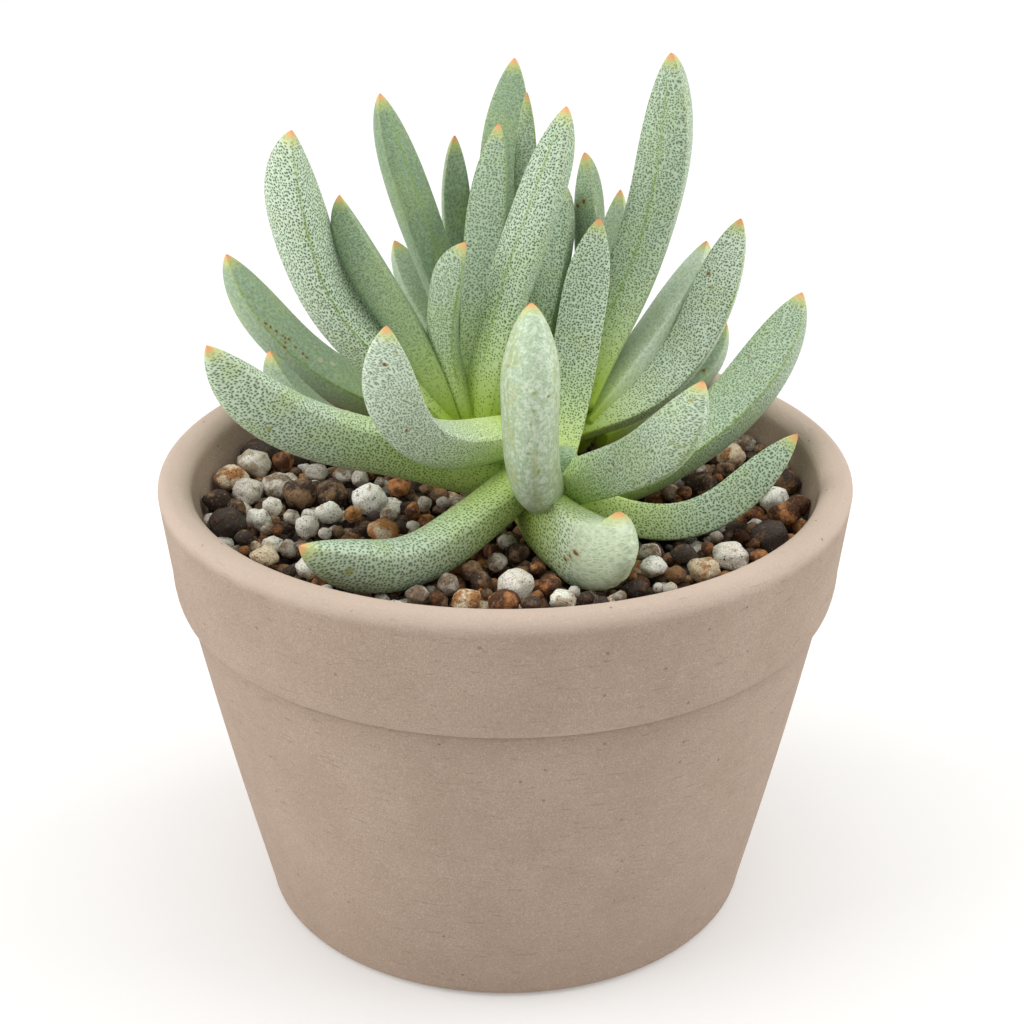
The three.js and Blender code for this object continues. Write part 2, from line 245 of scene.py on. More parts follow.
def quarter(centre, radii, start_at, steps=8):
    """The points of a quarter of an ellipse, from an angle in degrees on."""
    points = []
    for step in range(steps + 1):
        angle = math.radians(start_at + 90 * step / steps)
        points.append((centre[0] + radii[0] * math.cos(angle), centre[1] + radii[1] * math.sin(angle)))
    return points


def wall_point(share):
    """A point of the outer wall at a share of its height: a straight taper, a little full."""
    radius = BASE_RADIUS + (WALL_TOP[0] - BASE_RADIUS) * share
    radius += WALL_FULLNESS * math.sin(math.pi * share)
    return radius, BASE_ROUNDING + (WALL_TOP[1] - BASE_ROUNDING) * share


pot_line = [(DRAIN_RADIUS, 0.0)]
pot_line += quarter((BASE_RADIUS - BASE_ROUNDING, BASE_ROUNDING), (BASE_ROUNDING, BASE_ROUNDING), -90)
pot_line += [wall_point(step / WALL_STEPS) for step in range(1, WALL_STEPS + 1)]
pot_line += CREASE
band_radii = (BAND_FOOT[0] - SHOULDER[0], BAND_FOOT[1] - SHOULDER[1])
pot_line += quarter((SHOULDER[0], BAND_FOOT[1]), band_radii, -90)
pot_line += quarter((RIM_RADIUS - LIP_OUTSIDE, POT_HEIGHT - LIP_OUTSIDE), (LIP_OUTSIDE, LIP_OUTSIDE), 0)
pot_line += quarter((RIM_RADIUS - LIP_INSIDE, POT_HEIGHT - LIP_INSIDE), (LIP_INSIDE, LIP_INSIDE), 90)
pot_line += [INNER_FLOOR, (DRAIN_RADIUS, INNER_FLOOR[1]), (DRAIN_RADIUS, 0.0)]
bpy.ops.object.select_all(action="DESELECT")
bpy.ops.mesh.primitive_circle_add(vertices=POT_SIDES, radius=DRAIN_RADIUS * MM)
pot = bpy.context.object
pot.name = "clay_pot"
bpy.ops.object.mode_set(mode="EDIT")
bpy.ops.mesh.select_all(action="SELECT")
for (radius, height), (next_radius, next_height) in zip(pot_line, pot_line[1:]):
    bpy.ops.mesh.extrude_region_move(
        TRANSFORM_OT_translate={"value": (0, 0, (next_height - height) * MM)}
    )
    grown = next_radius / radius
    bpy.ops.transform.resize(value=(grown, grown, 1.0), center_override=(0, 0, 0))
bpy.ops.mesh.select_all(action="SELECT")
bpy.ops.mesh.remove_doubles(threshold=1e-6)
bpy.ops.mesh.normals_make_consistent(inside=False)
bpy.ops.object.mode_set(mode="OBJECT")
bpy.ops.object.shade_smooth_by_angle(angle=SMOOTH_BELOW)

clay, start, shader = finish("fired_clay")
at = in_millimetres(start)
cloud = start.noise(at, 0.09, 4.0, 0.6)
mottle = start.noise(at, 0.5, 3.0, 0.6)
sand = start.noise(at, 4.0, 3.0, 0.7)
grain = start.noise(at, 7.0, 2.0, 0.7)
height = start.node("SeparateXYZ", {}, {0: at}, 2)
rings = start.noise(stretched(at, 0.12, 1.6), 1.0, 3.0, 0.6)
scratches = start.noise(stretched(at, 0.4, 3.4), 1.0, 2.0, 0.6).rise(0.64, 0.72)
speck = {"Vector": at, "Scale": 0.5}
speck_lot = start.node("SeparateColor", {}, {0: start.node("TexVoronoi", {}, speck, "Color")}, 0)
pits = start.node("TexVoronoi", {}, speck, "Distance").rise(0.1, 0.05) * speck_lot.rise(0.62, 0.72)
ground = start.mix(cloud.rise(0.3, 0.7), shade(167, 147, 130), shade(178, 158, 142))
ground = start.mix(mottle.rise(0.35, 0.7) * 0.2, ground, shade(188, 168, 151))
# Painted shade: the clay is darker towards its foot
ground = start.mix(height.rise(*FOOT_SHADE) * 0.25, ground, shade(150, 130, 114))
# Painted shadow: darker clay just under the overhang of the band
band_painted_shadow = height.rise(*BAND_SHADE) * height.rise(*BAND_SHADE_END)
ground = start.mix(band_painted_shadow * 0.16, ground, shade(146, 126, 110))
ground = start.mix(grain.rise(0.38, 0.66) * 0.6, ground, shade(142, 120, 104))
ground = start.mix(sand.rise(0.52, 0.72) * 0.4, ground, shade(204, 187, 171))
ground = start.mix(rings.rise(0.4, 0.75) * 0.25, ground, shade(162, 141, 124))
ground = start.mix(scratches * 0.25, ground, shade(134, 111, 95))
# Painted highlight: paler clay on the lip
ground = start.mix(height.rise(*LIP_PAINTED_HIGHLIGHT) * 0.5, ground, shade(216, 197, 181))
ground = start.mix(pits * 0.45, ground, shade(112, 90, 76))
connect(ground, shader, "Base Color")
shader.inputs["Roughness"].default_value = 0.82
shader.inputs["Specular IOR Level"].default_value = 0.3
relief = sand * 0.4 + grain * 0.5 + rings * 0.4 - pits * 1.6 - scratches * 0.5
connect(bump(relief, 0.6, 0.00016), shader, "Normal")
pot.data.materials.append(clay)
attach(pot, "root")
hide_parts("pot")

# The rootstock: a corky tuber in the grit with four short stems. Only the stems' green ends show
# between the leaf bases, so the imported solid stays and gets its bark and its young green.
GREEN_FROM = (46.5, 49.5)
rind, start, shader = finish("corky_rind")
at = in_millimetres(start)
height = start.node("SeparateXYZ", {}, {0: at}, 2)
wrinkle = start.noise(at, 1.4, 4.0, 0.6)
bark = start.mix(wrinkle, shade(92, 74, 52), shade(150, 128, 94))
young = start.mix(wrinkle, shade(140, 156, 66), shade(176, 188, 98))
connect(start.mix((height + wrinkle * 2.0).rise(*GREEN_FROM), bark, young), shader, "Base Color")
shader.inputs["Roughness"].default_value = 0.7
connect(bump(wrinkle, 0.5, 0.0003), shader, "Normal")
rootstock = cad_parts["rootstock"]
rootstock.data.materials.clear()
rootstock.data.materials.append(rind)

# The leaves: thick, keeled below and nearly flat above, in pairs that grow out of four heads. Each is
# a ball drawn out along a bent path. Their wax is a pale bloom over green, set with small dark dots.
HEADS = {
    "left": (-2.6, 3.8, 53.6),
    "front": (4.4, -4.6, 51.2),
    "right": (7.6, 7.6, 53.2),
    "back": (0.8, 12.6, 52.6),
}
# Name, out, drop, heading, swing, rises, shares of the bend, roll, length, width, foot and depth
LEAVES = (
    ("left_head_leaf_1", 0.5, 0, 150, 20, (67, 99), (0.08, 0.7), 12, 21, 3.8, 0.78, 0.85),
    ("left_head_leaf_2", -1, 0.5, 37, 5, (79, 64), (0, 0.66), 10, 36.5, 5.2, 0.78, 0.85),
    ("left_head_leaf_3", 2.6, 1, 96, -28, (60, 62), (0, 0.7), 0, 34, 4.4, 0.78, 0.85),
    ("left_head_leaf_4", 1.8, 0.5, 164, 13, (44, 77), (0.3, 0.7), -8, 38.5, 6.4, 0.78, 0.85),
    ("left_head_leaf_5", 2.4, 1, 158, -5, (71, 55), (0, 0.6), 32, 29, 4.4, 0.78, 0.85),
    ("left_head_leaf_6", 3.5, 3, 169, 0, (7, 53), (0.2, 0.95), 8, 23.8, 4.2, 0.78, 0.85),
    ("front_head_leaf_1", 2.1, -0.75, 263, -18, (16, 91), (0.03, 0.58), 10, 27.4, 5.9, 0.78, 0.78),
    ("front_head_leaf_2", 0.2, 0.6, 78, -14, (14, 62), (0.04, 0.46), 13, 32, 5.2, 0.78, 0.85),
    ("front_head_leaf_3", 0.6, 0.5, 316, 5, (31, 61), (0.37, 1), -32, 26, 5.6, 0.95, 0.85),
    ("front_head_bud", 3.6, -0.2, 296, 0, (80, 95), (0, 1), 0, 4.8, 2.8, 0.78, 0.85),
    ("front_head_leaf_4", 1.5, -6.2, 209, 12, (5, 73), (0.2, 0.77), -3, 25.9, 5.9, 0.95, 0.79),
    ("front_head_leaf_5", 0.6, 0.6, 181, 29, (20, 44), (0.46, 0.86), 10, 40.1, 5.9, 0.78, 0.79),
    ("front_head_leaf_6", 1, -2.6, 235, -34, (-15, 18), (0.44, 0.79), 12, 32.1, 5.7, 0.95, 0.71),
    ("front_head_leaf_7", 0, 0.9, 281, 29, (4, 76), (0.75, 0.97), -45, 18.6, 7, 0.95, 0.97),
    ("front_head_leaf_8", 2.4, 2, 17, 23, (11, 51), (0, 0.97), 8, 35.3, 6.2, 0.78, 0.85),
    ("front_head_leaf_9", 1, 1, 335, 48, (-18, 44), (0.16, 0.79), 49, 29.8, 4.2, 0.78, 0.85),
    ("right_head_leaf_1", -0.7, -1.2, 55, -16, (48, 86), (0.2, 0.88), 15, 41.7, 6.2, 0.78, 0.85),
    ("right_head_leaf_2", -1.6, 1.1, 23, 16, (10, 64), (0.12, 0.71), 26, 33.6, 5.4, 0.78, 0.85),
    ("right_head_leaf_3", 0.3, 1.1, 50, -10, (28, 44), (0, 0.9), -17, 27.5, 5, 0.78, 0.85),
    ("right_head_leaf_4", 2.6, 1, 80, -17, (31, 62), (0.04, 0.73), -11, 28.4, 3.6, 0.78, 0.85),
    ("right_head_leaf_5", 3, 2.5, 35, 5, (7, 45), (0.1, 1), 9, 22, 4.6, 0.78, 0.85),
    ("right_head_leaf_6", 3, 3, 78, -6, (4, 34), (0.1, 1), 0, 23, 5, 0.78, 0.85),
    ("back_head_leaf_1", 2, 0, 82, -4, (60, 86), (0.02, 0.72), 0, 34.8, 2.7, 0.78, 0.85),
    ("back_head_leaf_2", 1.2, 0, 29, 11, (77, 79), (0, 0.7), 16, 25.5, 4.4, 0.78, 0.85),
    ("back_head_leaf_3", 2, 0, 30, 8, (38, 92), (0, 0.6), 10, 30.6, 3.5, 0.78, 0.85),
    ("back_head_leaf_4", 2.4, 1, 101, -26, (64, 60), (0, 0.7), 0, 40.5, 5.8, 0.78, 0.85),
    ("back_head_leaf_5", 2.5, 1, 145, 0, (63, 67), (0, 0.8), -12, 37.5, 4.8, 0.78, 0.85),
    ("back_head_leaf_6", 3.2, 1, 114, 0, (38, 86), (0.04, 0.82), 2, 32.7, 3.6, 0.78, 0.85),
    ("back_head_leaf_7", 3.2, 2.5, 133, 3, (46, 46), (0.1, 0.9), -6, 24, 4.4, 0.78, 0.85),
    ("back_head_leaf_8", 3, 2, 172, -9, (9, 52), (0.1, 0.9), -12, 36.5, 5.4, 0.78, 0.85),
    ("back_head_leaf_9", 3, 3, 104, 4, (8, 40), (0.1, 1), 0, 19.5, 4.6, 0.78, 0.85),
)
# Twist in degrees, swell of the upper face and sharpness of the keel, where they aren't the usual ones
USUAL_FORM = (0, 0.2, 1.25)
FORMS = {
    "front_head_leaf_1": (24, 0.2, 1.0),
    "front_head_leaf_5": (0, 0.5, 1.05),
    "front_head_leaf_6": (0, 0.5, 1.05),
    "front_head_leaf_7": (33, 0.2, 1.1),
}
# How pale the bloom is, how strong the dots, their spacing, how far they run into wavy rows, how
# yellow the leaf, and its drawn line
BLOOMS = {
    "left_head_leaf_1": (0.55, 0.7, 0.34, 0.5, 0.35, "margin"),
    "left_head_leaf_2": (0.6, 0.95, 0.38, 0.25, 0.2, "midrib"),
    "left_head_leaf_3": (0.4, 0.75, 0.38, 0.3, 0.15, "margin"),
    "left_head_leaf_4": (0.85, 1.0, 0.39, 0.15, 0.12, "margin"),
    "left_head_leaf_5": (0.15, 0.5, 0.34, 0.7, 0.3, ""),
    "left_head_leaf_6": (0.35, 0.2, 0.4, 0.6, 0.2, ""),
    "front_head_leaf_1": (1.0, 0.5, 0.5, 0.2, 0.15, ""),
    "front_head_leaf_2": (0.8, 0.9, 0.36, 0.15, 0.35, ""),
    "front_head_leaf_3": (0.7, 0.7, 0.34, 0.5, 0.25, "keel"),
    "front_head_bud": (0.1, 0.6, 0.36, 0.2, 0.5, ""),
    "front_head_leaf_4": (1.0, 0.7, 0.3, 0.5, 0.3, ""),
    "front_head_leaf_5": (0.75, 0.85, 0.4, 0.1, 0.6, ""),
    "front_head_leaf_6": (0.65, 0.8, 0.44, 0.1, 0.5, ""),
    "front_head_leaf_7": (1.0, 0.8, 0.46, 0.1, 0.9, ""),
    "front_head_leaf_8": (0.4, 0.75, 0.36, 0.4, 0.25, "margin"),
    "front_head_leaf_9": (0.5, 0.85, 0.38, 0.2, 0.45, ""),
    "right_head_leaf_1": (0.6, 0.8, 0.36, 0.45, 0.15, "midrib"),
    "right_head_leaf_2": (1.15, 0.9, 0.36, 0.3, 0.15, "margin"),
    "right_head_leaf_3": (1.3, 0.12, 0.4, 0.5, 0.15, ""),
    "right_head_leaf_4": (0.4, 0.2, 0.4, 0.5, 0.3, ""),
    "right_head_leaf_5": (0.4, 0.1, 0.4, 0.5, 0.2, ""),
    "right_head_leaf_6": (0.4, 0.3, 0.46, 0.3, 0.3, ""),
    "back_head_leaf_1": (0.45, 0.6, 0.36, 0.4, 0.4, "margin"),
    "back_head_leaf_2": (0.5, 0.8, 0.36, 0.3, 0.2, ""),
    "back_head_leaf_3": (0.35, 0.45, 0.36, 0.5, 0.2, ""),
    "back_head_leaf_4": (0.1, 0.45, 0.36, 0.6, 0.35, ""),
    "back_head_leaf_5": (0.0, 0.45, 0.34, 0.8, 0.1, "midrib"),
    "back_head_leaf_6": (0.2, 0.3, 0.5, 0.9, 0.3, ""),
    "back_head_leaf_7": (0.35, 0.1, 0.4, 0.5, 0.2, ""),
    "back_head_leaf_8": (0.18, 0.12, 0.5, 0.5, 0.3, "margin"),
    "back_head_leaf_9": (0.4, 0.3, 0.46, 0.3, 0.3, ""),
}
# Where, as a share of its length, the white wax of a leaf begins, and how thick it lies
WAXY_FROM = {"front_head_leaf_1": (-1.0, 0.1), "front_head_leaf_7": (0.8, 0.5)}
# Marks that time has left, as chains of picture points: breadth in millimetres and kind
MARKS = (
    ("back_head_leaf_8", "brown", 0.18, (
        (266, 323), (271, 327), (277, 332), (283, 336), (289, 340), (296, 347), (303, 354), (307, 358),
    )),
    ("back_head_leaf_8", "brown", 0.16, ((285, 338), (285, 343), (285, 347))),
    ("back_head_leaf_8", "pale", 0.4, ((321, 360), (332, 364))),
    ("back_head_leaf_3", "brown", 0.26, ((572, 211), (578, 206), (584, 201))),
    ("left_head_leaf_4", "brown", 0.12, ((284.5, 265),)),
    ("right_head_leaf_1", "brown", 0.12, ((668, 239),)),
    ("right_head_leaf_2", "brown", 0.2, ((708, 274),)),
    ("right_head_leaf_2", "olive", 0.25, ((712.5, 287.5),)),
    ("right_head_leaf_2", "brown", 0.14, ((627.5, 372.5),)),
    ("front_head_leaf_4", "brown", 0.15, ((384.6, 365),)),
    ("front_head_leaf_4", "brown", 0.13, ((406.4, 430),)),
    ("front_head_leaf_4", "olive", 0.18, ((396, 352),)),
    ("front_head_leaf_5", "olive", 0.25, ((270, 429),)),
    ("front_head_leaf_6", "olive", 0.4, ((349, 571.5),)),
    ("front_head_leaf_6", "brown", 0.12, ((414, 572),)),
    ("front_head_leaf_7", "brown", 0.22, ((565.6, 559), (570, 556), (575, 553))),
    ("front_head_leaf_3", "brown", 0.12, ((612.6, 465),)),
    ("front_head_leaf_3", "olive", 0.2, ((690, 400), (672.5, 442.5), (680, 447))),
    ("front_head_leaf_8", "olive", 0.2, ((789.5, 365), (747.5, 356))),
    ("right_head_leaf_5", "brown", 0.2, ((703.7, 370),)),
    ("front_head_leaf_1", "brown", 0.13, ((548, 397),)),
    ("front_head_leaf_1", "olive", 0.2, ((538.8, 471), (507.9, 366), (534, 393.6))),
    ("front_head_leaf_1", "olive", 0.16, ((533, 411), (531, 425), (529, 440), (528, 454))),
)
LEAF_SIDES = 48
LEAF_RINGS = 84
PATH_STEPS = 44
# Shares of a leaf's length: the cap of its foot and its widest place. Its rings crowd to the tip.
FOOT_CAP = 0.015
WIDEST_AT = 0.68
TIP_CROWDING = 1.3
FOOT_SWELL = 1.2
FOOT_DEPTH = 0.75
TIP_TAPER = (2.2, 0.75)
TIP_THINNING = (3, 0.7)
# Low waves of the flesh, as shares of the breadth
ROUND_WAVE = 0.012
LONG_WAVE = 0.01
# The maps of the leaves lie this far apart, so that no two have the same dots
MAP_STEP = 31.7
# From this turn on, in degrees from the midrib, a point counts as on the keel
KEEL_TURN = 179.9


def eased(value, low, high):
    share = min(1.0, max(0.0, (value - low) / (high - low)))
    return share * share * (3 - 2 * share)


def leaf_path(leaf, twist):
    """Points, directions, upward normals and side directions along a leaf's upper face."""
    name, out, drop, heading, swing, rises, bend, roll, length = leaf[:9]
    head = Vector(HEADS[name.split("_")[0]])
    start_at = math.radians(heading)
    here = head + Vector((out * math.cos(start_at), out * math.sin(start_at), -drop))
    frames = []
    for step in range(PATH_STEPS + 1):
        share = step / PATH_STEPS
        rise = math.radians(rises[0] + (rises[1] - rises[0]) * eased(share, *bend))
        turn = math.radians(heading + swing * share)
        flat_x, flat_y = math.cos(turn), math.sin(turn)
        along = Vector((math.cos(rise) * flat_x, math.cos(rise) * flat_y, math.sin(rise)))
        up = Vector((-math.sin(rise) * flat_x, -math.sin(rise) * flat_y, math.cos(rise)))
        up.rotate(Quaternion(along, math.radians(roll + twist * share)))
        frames.append((here.copy(), along, up, along.cross(up)))
        here += along * (length / PATH_STEPS)
    return frames


def leaf_width(share, foot):
    if share < WIDEST_AT:
        return foot + (1 - foot) * math.sin(math.pi / 2 * share / WIDEST_AT) ** FOOT_SWELL
    past = (share - WIDEST_AT) / (1 - WIDEST_AT)
    return max(0.0, 1 - past ** TIP_TAPER[0]) ** TIP_TAPER[1]


def leaf_depth(share):
    if share < WIDEST_AT:
        return FOOT_DEPTH + (1 - FOOT_DEPTH) * share / WIDEST_AT
    past = (share - WIDEST_AT) / (1 - WIDEST_AT)
    return max(0.0, 1 - past ** TIP_THINNING[0]) ** TIP_THINNING[1]


def grow_leaf(leaf, order):
    """Draws a ball out into one leaf, and notes on its skin where its edges, keel and tip are."""
    name, width, foot, depth = leaf[0], leaf[9], leaf[10], leaf[11]
    twist, top_swell, keel_sharpness = FORMS.get(name, USUAL_FORM)
    bpy.ops.object.select_all(action="DESELECT")
    bpy.ops.mesh.primitive_uv_sphere_add(segments=LEAF_SIDES, ring_count=LEAF_RINGS, radius=1.0)
    made = bpy.context.object
    made.name = name + "_skin"
    frames = leaf_path(leaf, twist)
    mesh = made.data
    first = 1 / LEAF_RINGS
    sway = random.Random(name).random() * 6.0
    rings, rounds, shares = [], [], []
    for vertex in mesh.vertices:
        ring = 1 - math.acos(max(-1.0, min(1.0, vertex.co.z))) / math.pi
        turn = math.atan2(-vertex.co.y, vertex.co.x)
        at_pole = ring < first / 2
        at_tip = ring > 1 - first / 2
        beyond = max(0.0, (ring - first) / (1 - first))
        share = 0.0 if at_pole else FOOT_CAP + (1 - FOOT_CAP) * (1 - (1 - beyond) ** TIP_CROWDING)
        ends = at_pole or at_tip
        uneven = 1 + ROUND_WAVE * math.sin(3 * turn + 9 * share + sway)
        uneven += LONG_WAVE * math.sin(17 * share + 2 * sway)
        wide = 0.0 if ends else width / 2 * leaf_width(share, foot) * uneven
        deep = 0.0 if ends else width * depth * leaf_depth(share) * uneven
        cos, sin = math.cos(turn), math.sin(turn)
        sharp = keel_sharpness if sin < 0 else 1.0
        across = wide * math.copysign(abs(cos) ** sharp, cos)
        lift = -deep * (-sin) ** sharp if sin < 0 else top_swell * wide * sin
        place = share * PATH_STEPS
        step = min(PATH_STEPS - 1, int(place))
        point = frames[step][0].lerp(frames[step + 1][0], place - step)
        vertex.co = (point + frames[step][3] * across + frames[step][2] * lift) * MM
        rings.append(round(ring * LEAF_RINGS))
        rounds.append((math.degrees(turn) - 90 + 180) % 360 - 180)
        shares.append(share)
    note_skin(made, rings, rounds, shares, leaf[8], order)
    bpy.ops.object.shade_smooth()
    return made


def note_skin(made, rings, rounds, shares, length, order):
    """Lays a map in millimetres on a leaf: across from the midrib and along from the foot."""
    mesh = made.data
    belts = {}
    for index, ring in enumerate(rings):
        belts.setdefault(ring, []).append(index)
    across = [0.0] * len(mesh.vertices)
    girth = [0.0] * len(mesh.vertices)
    edge = [0.0] * len(mesh.vertices)
    for belt in belts.values():
        for side in (1, -1):
            half = sorted(
                (abs(rounds[i]), i)
                for i in belt
                if rounds[i] * side >= -1e-3 or abs(rounds[i]) > KEEL_TURN
            )
            run, last, margin = 0.0, None, 0.0
            spots = []
            for angle, i in half:
                if last is not None:
                    run += (mesh.vertices[i].co - last).length / MM
                last = mesh.vertices[i].co
                spots.append((i, run))
                if angle <= 90.01:
                    margin = run
            for i, gone in spots:
                across[i] = side * gone
                girth[i] = run
                edge[i] = abs(gone - margin)
    ridge = [whole - abs(gone) for whole, gone in zip(girth, across)]
    tip = mesh.vertices[rings.index(max(rings))].co
    apex = [(vertex.co - tip).length / MM for vertex in mesh.vertices]
    for name, values in (("share", shares), ("edge", edge), ("ridge", ridge), ("apex", apex)):
        mesh.attributes.new(name, "FLOAT", "POINT").data.foreach_set("value", values)
    skin = mesh.uv_layers[0] if mesh.uv_layers else mesh.uv_layers.new()
    skin.name = "skin"
    for face in mesh.polygons:
        middle = sum(rounds[i] for i in face.vertices if abs(rounds[i]) < KEEL_TURN)
        for loop in face.loop_indices:
            i = mesh.loops[loop].vertex_index
            reach = math.copysign(abs(across[i]), middle) if abs(rounds[i]) > KEEL_TURN else across[i]
            skin.data[loop].uv = (reach + MAP_STEP * order, shares[i] * length)


def marks_on(made):
    """The marks of a leaf on its map, by kind: each point of the picture is sought on the skin."""
    mesh = made.data
    body = BVHTree.FromPolygons([v.co for v in mesh.vertices], [p.vertices for p in mesh.polygons])
    skin = mesh.uv_layers["skin"].data
    found = {}
    for owner, kind, breadth, places in MARKS:
        if owner + "_skin" != made.name:
            continue
        for place in places:
            spot, _, index, _ = body.ray_cast(*sight_line(*place))
            if spot is None:
                continue
            across, along, total = 0.0, 0.0, 0.0
            for loop in mesh.polygons[index].loop_indices:
                corner = mesh.vertices[mesh.loops[loop].vertex_index].co
                weight = 1 / ((corner - spot).length / MM + 1e-4)
                across += skin[loop].uv[0] * weight
                along += skin[loop].uv[1] * weight
                total += weight
            found.setdefault(kind, []).append((across / total, along / total, breadth))
    return found


def worn(flat, spots):
    """How near a point of the skin is to one of some frayed spots: 0 at its middle, 1 at its edge."""
    fray = flat.node("TexNoise", {}, {"Vector": flat, "Scale": 2.6, "Detail": 2.0}, "Color")
    frayed = flat.node("VectorMath", {"operation": "MULTIPLY_ADD"}, {0: fray, 1: (0.5, 0.5, 0), 2: flat})
    nearest = None
    for across, along, breadth in spots:
        middle = (across + 0.25, along + 0.25, 0.0)
        away = flat.node("VectorMath", {"operation": "DISTANCE"}, {0: frayed, 1: middle}, "Value")
        gap = away / breadth
        nearest = gap if nearest is None else nearest.sum("MINIMUM", nearest, gap)
    return nearest


def leaf_skin(made, order, pale, dots, spacing, swirl, warm, line):
    """The skin of one leaf: green under a waxy bloom, dark sunken dots, a yellow foot and a rosy tip."""
    name = made.name.removesuffix("_skin")
    skin, start, shader = finish(name + "_bloom")
    at = in_millimetres(start)
    flat = start.node("UVMap", {"uv_map": "skin"})
    share, edge, ridge, apex = (
        start.node("Attribute", {"attribute_name": title}, {}, "Fac")
        for title in ("share", "edge", "ridge", "apex")
    )
    fine = start.noise(at, 2.2, 3.0, 0.6)
    broad = start.noise(at, 0.22, 2.0, 0.5)

    # The dots lie in the cells of a loose net, which is pulled out of line where they run in rows.
    stray = start.node("TexNoise", {}, {"Vector": flat, "Scale": 0.6, "Detail": 1.0}, "Color")
    pull = (0.3 + 1.8 * swirl, 0.3 + 1.8 * swirl, 0)
    drawn_out = start.node("VectorMath", {"operation": "MULTIPLY_ADD"}, {0: stray, 1: pull, 2: flat})
    net = {"voronoi_dimensions": "2D"}
    cells = {"Vector": drawn_out, "Scale": 1.18 / spacing, "Randomness": 0.75}
    near = start.node("TexVoronoi", net, cells, "Distance")
    lot = start.node("SeparateColor", {}, {0: start.node("TexVoronoi", net, cells, "Color")}, 0)
    kept = (share.rise(0.02, 0.42) * 0.85 + 0.3 - lot).rise(0.0, 0.12) * apex.rise(0.5, 1.5)
    dot = (lot * 0.1 + 0.2 - near).rise(-0.1, 0.06) * kept

    # The ground, greener to the foot, and the ink of the dots on it
    lit = [dark + (light - dark) * pale for dark, light in zip((146, 172, 134), (208, 226, 200))]
    ground = start.mix(fine.rise(0.3, 0.7), shade(*(value * 0.86 for value in lit)), shade(*lit))
    ground = start.mix(near.rise(0.3, 0.6) * (0.55 * pale), ground, shade(222, 236, 218))
    grain = start.noise(at, 4.2, 2.0, 0.6)
    ground = start.mix(grain.rise(0.5, 0.7) * 0.35, ground, shade(130, 158, 112))
    ground = start.mix(broad.rise(0.45, 0.7) * (0.15 + 0.5 * warm), ground, shade(176, 196, 124))
    foot = (share + broad * 0.16).rise(0.5 + 0.5 * warm, 0.12 + 0.3 * warm) * (0.55 + 0.4 * warm)
    ground = start.mix(foot, ground, shade(178, 203, 92))
    ground = start.mix((share + fine * 0.06).rise(0.26, 0.06), ground, shade(156, 184, 56))
    ink = start.mix((foot + warm * 0.5).held(), shade(60, 92, 58), shade(80, 108, 36))
    tone = start.mix(dot * dots, ground, ink)

    # Thick white wax, in patches, with olive streaks where it has rubbed off
    if name in WAXY_FROM:
        begins, thick = WAXY_FROM[name]
        drawn_long = start.node("VectorMath", {"operation": "MULTIPLY"}, {0: flat, 1: (1.6, 0.5, 0)})
        streak = start.noise(drawn_long, 1.0)
        patch = start.noise(at, 1.5, 2.0, 0.5)
        speckle = start.noise(at, 2.6, 3.0, 0.7)
        wax = start.mix(patch.rise(0.4, 0.6), shade(170, 193, 160), shade(202, 217, 194))
        wax = start.mix(speckle.rise(0.5, 0.66) * 0.5, wax, shade(142, 168, 126))
        wax = start.mix(speckle.rise(0.46, 0.3) * 0.35, wax, shade(220, 232, 214))
        wax = start.mix(thick, wax, shade(216, 228, 192))
        sides = ridge.rise(1.5, 2.6) + share.rise(0.7, 0.4) * ridge.rise(0.5, 0.1)
        rubbed = (streak.rise(0.46, 0.56) * sides).held() * (0.6 - 1.2 * thick)
        wax = start.mix(rubbed, wax, shade(172, 176, 98))
        cover = (share + fine * 0.05).rise(begins - 0.06, begins + 0.04)
        tone = start.mix(cover * (1.0 - dot * (0.45 - 0.45 * thick)), tone, wax)

    # The pale border, and a beaded line along the midrib, the border or the keel
    tone = start.mix(edge.rise(0.3, 0.05) * share.rise(0.35, 0.8) * 0.15, tone, shade(206, 210, 150))
    if line:
        across = start.node("SeparateXYZ", {}, {0: flat}, 0) - MAP_STEP * order
        gap = {"midrib": abs(across), "margin": edge, "keel": ridge}[line]
        beads = start.noise(flat, 2.4, 1.0).rise(0.42, 0.56)
        drawn = gap.rise(0.26, 0.06) * share.rise(0.12, 0.3) * share.rise(0.97, 0.86)
        tone = start.mix(drawn * (beads * 0.65 + 0.15), tone, shade(130, 160, 62))

    # The tip: bare and yellow, then peach to a darker point
    if name != "front_head_bud":
        bare = apex - fine * 1.2 + edge * 0.3
        tone = start.mix(bare.rise(2.2, 0.2) * 0.7, tone, shade(196, 204, 112))
        tone = start.mix((apex - fine * 0.6).rise(0.95, 0.1), tone, shade(224, 168, 112))
        tone = start.mix(apex.rise(0.38, 0.08) * 0.7, tone, shade(206, 130, 84))

    marks = marks_on(made)
    if "olive" in marks:
        tone = start.mix(worn(flat, marks["olive"]).rise(1.5, 0.5) * 0.8, tone, shade(150, 152, 74))
    if "pale" in marks:
        tone = start.mix(worn(flat, marks["pale"]).rise(1.3, 0.7) * 0.6, tone, shade(204, 204, 172))
    if "brown" in marks:
        burn = worn(flat, marks["brown"])
        tone = start.mix(burn.rise(2.2, 0.9) * 0.6, tone, shade(160, 150, 84))
        tone = start.mix(burn.rise(1.2, 0.6) * 0.9, tone, shade(116, 72, 36))

    connect(tone, shader, "Base Color")
    shader.inputs["Roughness"].default_value = 0.5
    shader.inputs["Specular IOR Level"].default_value = 0.35
    connect(bump(fine * 0.25 - dot * 0.8, 0.5, 0.00006), shader, "Normal")
    return skin


leaves = []
for order, leaf in enumerate(LEAVES):
    made = grow_leaf(leaf, order)
    made.data.materials.append(leaf_skin(made, order, *BLOOMS[leaf[0]]))
    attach(made, "root")
    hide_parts(leaf[0])
    leaves.append(made)

